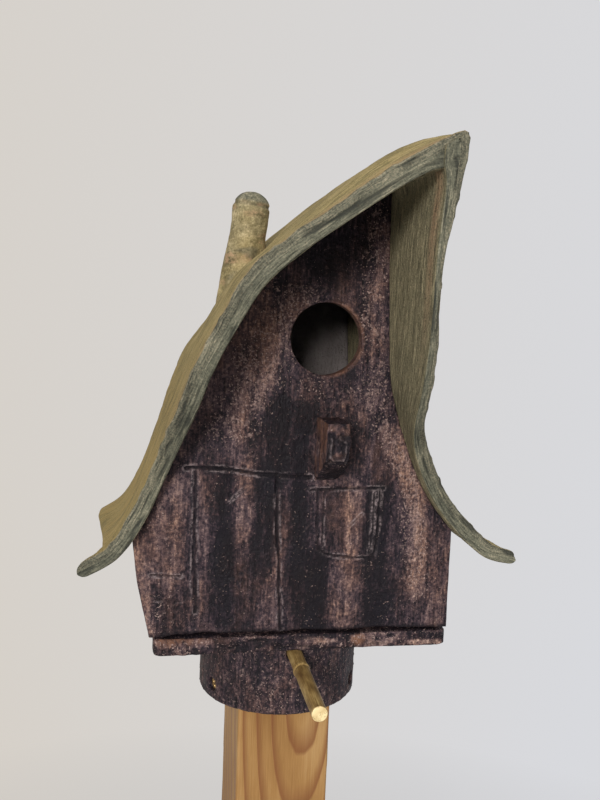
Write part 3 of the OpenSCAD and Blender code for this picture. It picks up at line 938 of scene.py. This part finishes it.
# ---------------------------------------------------------------- chimney, perch, post and screws
def chimney():
    """A leaning rod with a rounded top, a dent below it, and folds where its foot meets the slab."""
    lo, hi = in_mm(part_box("chimney"))
    top_x = hi[0] - CHIMNEY_R
    y_mid = (lo[1] + hi[1]) / 2
    turns = 72
    dome_heights = -CHIMNEY_R * np.cos(np.linspace(0, 1, 22)[1:] * 1.53)
    heights = np.concatenate([np.linspace(-56, -CHIMNEY_R, 62), dome_heights])
    angle, h = tube_grid(turns, heights)
    above = np.clip((h + CHIMNEY_R) / CHIMNEY_R, 0, 1)
    # Below the top the rod leans, and bends once more above its foot.
    lean = np.minimum(h + CHIMNEY_R, 0) * math.tan(CHIMNEY_LEAN)
    middle = top_x + lean + 0.8 * smooth(-6, -16, h)
    left = np.clip(-np.cos(angle), 0, 1)
    right = np.clip(np.cos(angle), 0, 1)
    flare = smooth(-14, -44, h) * left**1.5 + 3 * smooth(-20, -32, h) * right**1.5
    r = CHIMNEY_R + flare + 0.7 * smooth(-14, -4, h) * right
    r *= np.sqrt(np.clip(1 - above**2, 0.001, 1))
    x = middle + r * np.cos(angle)
    y = y_mid + (r - 0.55 * flare) * np.sin(angle)
    points = np.stack([x, y, hi[2] + h], axis=1)
    dent = smooth(1.3, 0.3, np.abs(h + 6.3 + 0.9 * np.cos(angle) + 0.5 * noise(points, 6, 88)))
    unrolled = np.stack([angle * CHIMNEY_R + 0.45 * h, h * 0, h], axis=1)
    folds = smooth(0.25, 0.6, noise(unrolled, (5, 1, 26), 89)) * smooth(-22, -32, h)
    lumps = 0.6 * fractal(points, (8, 8, 11), 2, 81) + 0.16 * fractal(points, 2, 2, 83)
    lumps -= 0.5 * dent + 0.9 * folds
    points[:, 0] += lumps * np.cos(angle)
    points[:, 1] += lumps * np.sin(angle)
    cap = smooth(-6.5, -4.0, h + 0.9 * np.cos(angle))
    stain = smooth(0.0, 0.5, fractal(points, (9, 9, 5), 3, 85))
    masks = {
        "grain": points,
        "band": np.maximum(0.9 * cap, 0.35 * stain),
        "under": 0.3 + 0.4 * smooth(-0.3, 0.3, fractal(points, 12, 2, 86)),
        # The dent and the folds are painted darker as painted shade; the stain patches are stains.
        "deep": np.maximum(np.maximum(0.5 * dent, 0.55 * stain) * (1 - cap), 0.7 * folds),
        "warm": 0.8 * smooth(0.2, 0.6, fractal(points, (6, 6, 3), 2, 84)) * (1 - cap),
        "ochre": 0.8 * (1 - cap),
    }
    faces = tube_faces(len(heights), turns)
    return add_mesh("chimney_clay", points, faces, smeared_glaze, masks, ["chimney"])


def perch():
    """The bamboo stick, a little uneven, with a joint ring and a cut end."""
    lo, hi = in_mm(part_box("bamboo_perch"))
    x, _, z = (lo + hi) / 2
    y0 = lo[1]
    ring_y = -14.6
    turns, rows = 48, 130
    rounding = [(0, 0.45), (0, 0.9), (0.05, 0.95), (0.25, 0.985), (0.6, 1.0)]
    along = np.concatenate([[y0 + d for d, _ in rounding], np.linspace(y0 + 1.2, hi[1], rows)])
    shrink = np.concatenate([[share for _, share in rounding], np.ones(rows)])
    angle, y = tube_grid(turns, along)
    near = np.abs(y - ring_y)
    size = 3.4 + 0.42 * smooth(1.5, 0.4, near) - 0.25 * smooth(0.5, 0.1, np.abs(near - 1.9))
    size = size * (1 - 0.03 * smooth(ring_y, y0, y))
    skin = np.stack([np.cos(angle) * 3, y, np.sin(angle) * 3], axis=1)
    r = np.repeat(shrink, turns) * (size + 0.06 * fractal(skin, (1.2, 14, 1.2), 2, 87)) - 0.05
    points = np.stack([x + r * np.cos(angle), y, z + r * np.sin(angle)], axis=1)
    masks = {"cut": smooth(y0 + 0.3, y0 + 0.05, y), "ring": smooth(0.5, 0.1, np.abs(near - 1.6))}
    faces = tube_faces(len(along), turns)
    return add_mesh("bamboo_perch_cane", points, faces, bamboo, masks, ["bamboo_perch"])


def turned(u, v, angle):
    """The two coordinates after a turn about the post's middle."""
    return u * np.cos(angle) - v * np.sin(angle), u * np.sin(angle) + v * np.cos(angle)


def post():
    """The square post with eased edges; its ring pattern comes from a pith line behind its face."""
    length = HOUSE[2] / MM - PLATE_T
    ease = 1.5
    half = POST_W / 2
    ring = []
    for quarter in range(4):
        a = quarter * math.pi / 2
        for t in np.linspace(-1, 1, 26):
            ring.append(turned(t * (half - ease), -half, a))
        for b in np.radians([22.5, 45, 67.5]):
            ring.append(turned(half - ease + ease * math.sin(b), -half + ease - ease * math.cos(b), a))
    heights = np.linspace(0, length, 330)
    u, v = np.tile(ring, (len(heights), 1)).T
    h = np.repeat(heights, len(ring))
    # The pith lies behind the front face and wanders, so that the rings run out in long arches.
    place = np.stack([u * 0, v * 0, h], axis=1)
    pith_x = 9 + 5 * noise(place, (1, 1, 260), 101) * smooth(0, 150, length - h)
    depth = 5 + 12 * (1 - np.cos((length - h) / 60 + 0.25)) + 5 * noise(place, (1, 1, 120), 103)
    rings = np.hypot(u - pith_x, v + half + depth) / 6.5
    fibres = fractal(np.stack([u, v, h / 8], axis=1), 3, 2, 105)
    relief = 0.1 * smooth(0.55, 0.9, rings % 1) + 0.08 * fibres
    shrink = 1 + (relief - 0.12) / half
    x, y = turned(u, v, math.radians(3))
    points = np.stack([x * shrink, y * shrink, h], axis=1) - HOUSE / MM
    faces = tube_faces(len(heights), len(ring))
    masks = {"grain": np.stack([rings, u, v], axis=1)}
    return add_mesh("post_pine", points, faces, pine_wood, masks, ["post"])


def screw(node):
    """A wood screw: slotted dome head sunk in its hole, and a threaded shank into the post."""
    middle = in_mm(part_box(node)).mean(axis=0)
    axis = -HOUSE / MM
    away = (middle - axis) * [1, 1, 0]
    away /= np.linalg.norm(away)
    across = np.array([-away[1], away[0], 0])
    rise = np.array([0, 0, 1.0])
    outermost = axis * [1, 1, 0] + rise * middle[2] + away * (COLLAR_R - SCREW_SINK)
    turns, dome = 64, 14
    # The profile as [radius, depth] from the middle of the head to the tip.
    head_r, head_t, shank_r = SCREW_HEAD_D / 2, SCREW_HEAD_T, SCREW_SHANK_D / 2
    length = COLLAR_R - POST_W / 2 + SCREW_BITE - SCREW_SINK
    head = [(head_r * math.sin(t), 0.75 * (1 - math.cos(t) ** 0.8))
            for t in np.linspace(0.04, 1.5, dome)]
    side = [(head_r, 1.0), (head_r, head_t - 0.15), (head_r - 0.15, head_t), (shank_r, head_t)]
    shank = [(shank_r, d) for d in np.arange(head_t + 0.2, length - SCREW_TIP, 0.22)]
    tip = [(shank_r * (length - d) / SCREW_TIP + 0.08, d) for d in np.linspace(length - 2.1, length, 8)]
    profile = np.array(head + side + shank + tip)
    angle, d = tube_grid(turns, profile[:, 1])
    r = np.repeat(profile[:, 0], turns)
    from_slot = np.abs(r * np.cos(angle - 0.5))
    slot = smooth(0.62, 0.42, from_slot) * (np.arange(len(r)) < dome * turns)
    d = d + SLOT_DEPTH * slot
    thread = (0.5 + 0.5 * np.cos(angle - 2 * math.pi * d / THREAD_PITCH)) * np.minimum(1, r / shank_r)
    r = r - THREAD_DEPTH * thread * (d > head_t + 0.5)
    points = outermost + np.outer(r * np.cos(angle), across) + np.outer(r * np.sin(angle), rise)
    points -= np.outer(d, away)
    faces = tube_faces(len(profile), turns)
    return add_mesh(node + "_brass", points, faces, brass, {"slot": slot}, [node])


chimney()
perch()
post()
for screw_name in ("collar_screw_left", "collar_screw_right", "collar_screw_back"):
    screw(screw_name)


# ---------------------------------------------------------------- stage, light and camera
def wall_colour(tree, direction):
    """The pale studio wall's colour in a direction, warmer on the left and cooler on the right."""
    split = tree.nodes.new("ShaderNodeSeparateXYZ")
    spread = tree.nodes.new("ShaderNodeMapRange")
    ramp = tree.nodes.new("ShaderNodeValToRGB")
    tree.links.new(direction, split.inputs[0])
    tree.links.new(split.outputs[0], spread.inputs[0])
    spread.inputs[1].default_value = -0.3
    spread.inputs[2].default_value = 0.6
    tree.links.new(spread.outputs[0], ramp.inputs[0])
    ramp.color_ramp.elements[0].color = srgb(214, 208, 200)
    ramp.color_ramp.elements[1].color = srgb(216, 217, 221)
    return ramp.outputs[0]


def seen_directly(tree):
    """1 for what the camera sees, also through glass or in a mirror."""
    path = tree.nodes.new("ShaderNodeLightPath")
    result = path.outputs["Is Camera Ray"]
    for name in ("Is Glossy Ray", "Is Transmission Ray"):
        either = tree.nodes.new("ShaderNodeMath")
        either.operation = "MAXIMUM"
        tree.links.new(result, either.inputs[0])
        tree.links.new(path.outputs[name], either.inputs[1])
        result = either.outputs[0]
    return result


def stage():
    """A wide pale floor that holds the shadow near the post and melts into the wall further out."""
    floor = bpy.data.meshes.new("floor")
    reach = 30.0
    corners = [(-reach, -reach, 0), (reach, -reach, 0), (reach, reach, 0), (-reach, reach, 0)]
    floor.from_pydata(corners, [], [(0, 1, 2, 3)])
    piece = bpy.data.objects.new("floor", floor)
    bpy.context.scene.collection.objects.link(piece)
    s = Shader("pale_floor", 0.9, 0.1)
    s.colour(srgb(216, 215, 214))
    at = s.node("TexCoord", {}, "Object")
    direction = s.node("VectorMath", {0: at}, operation="NORMALIZE")
    distance = s.node("VectorMath", {0: at}, "Value", operation="LENGTH")
    glow = s.node("Emission", {"Color": wall_colour(s.tree, direction), "Strength": 1.0})
    far = s.times(s.level(distance, 0.25, 1.3), seen_directly(s.tree))
    floor_mix = s.node("MixShader", {0: far, 1: s.bsdf.outputs[0], 2: glow})
    s.feed(s.tree.nodes["Material Output"].inputs["Surface"], floor_mix)
    floor.materials.append(s.material)


def surround():
    """Plain soft light all round, seen by the camera as a pale wall."""
    world = bpy.data.worlds.new("surround")
    bpy.context.scene.world = world
    world.use_nodes = True
    tree = world.node_tree
    light = tree.nodes["Background"]
    light.inputs["Color"].default_value = srgb(240, 241, 244)
    light.inputs["Strength"].default_value = 0.52
    seen = tree.nodes.new("ShaderNodeBackground")
    direction = tree.nodes.new("ShaderNodeTexCoord").outputs["Generated"]
    tree.links.new(wall_colour(tree, direction), seen.inputs["Color"])
    mix = tree.nodes.new("ShaderNodeMixShader")
    tree.links.new(seen_directly(tree), mix.inputs[0])
    tree.links.new(light.outputs[0], mix.inputs[1])
    tree.links.new(seen.outputs[0], mix.inputs[2])
    tree.links.new(mix.outputs[0], tree.nodes["World Output"].inputs["Surface"])


def lamp(name, place, target, size, energy, colour):
    data = bpy.data.lights.new(name, "AREA")
    data.size = size
    data.energy = energy
    data.color = colour
    obj = bpy.data.objects.new(name, data)
    obj.location = place
    obj.rotation_euler = (Vector(target) - Vector(place)).to_track_quat("-Z", "Y").to_euler()
    bpy.context.scene.collection.objects.link(obj)


def camera():
    """The view from a little left of the house, level with its entrance hole and slightly down."""
    yaw, pitch, roll = (math.radians(a) for a in (10.55, 5.82, 2.33))
    ahead = math.cos(pitch)
    forward = Vector((math.sin(yaw) * ahead, math.cos(yaw) * ahead, -math.sin(pitch)))
    right = Vector((math.cos(yaw), -math.sin(yaw), 0))
    up = right.cross(forward)
    x_axis = right * math.cos(roll) + up * math.sin(roll)
    y_axis = up * math.cos(roll) - right * math.sin(roll)
    data = bpy.data.cameras.new("camera")
    data.lens = 36
    data.sensor_width = 36
    data.clip_start = 0.01
    obj = bpy.data.objects.new("camera", data)
    eye = Vector(HOUSE) + Vector((-69.7, -340.1, 140.9)) * MM
    facing = Matrix((x_axis, y_axis, -forward)).transposed()
    obj.matrix_world = Matrix.Translation(eye) @ facing.to_4x4()
    bpy.context.scene.collection.objects.link(obj)
    bpy.context.scene.camera = obj


stage()
surround()
centre = tuple(HOUSE + MM * np.array([0, 40, 100]))
lamp("key", (-0.7, -1.9, 1.36), centre, 0.5, 43, (1.0, 0.98, 0.955))
lamp("top", (0.5, -0.5, 2.4), centre, 1.2, 9, (0.95, 0.98, 1.0))
camera()
bpy.context.scene.view_settings.view_transform = "Standard"
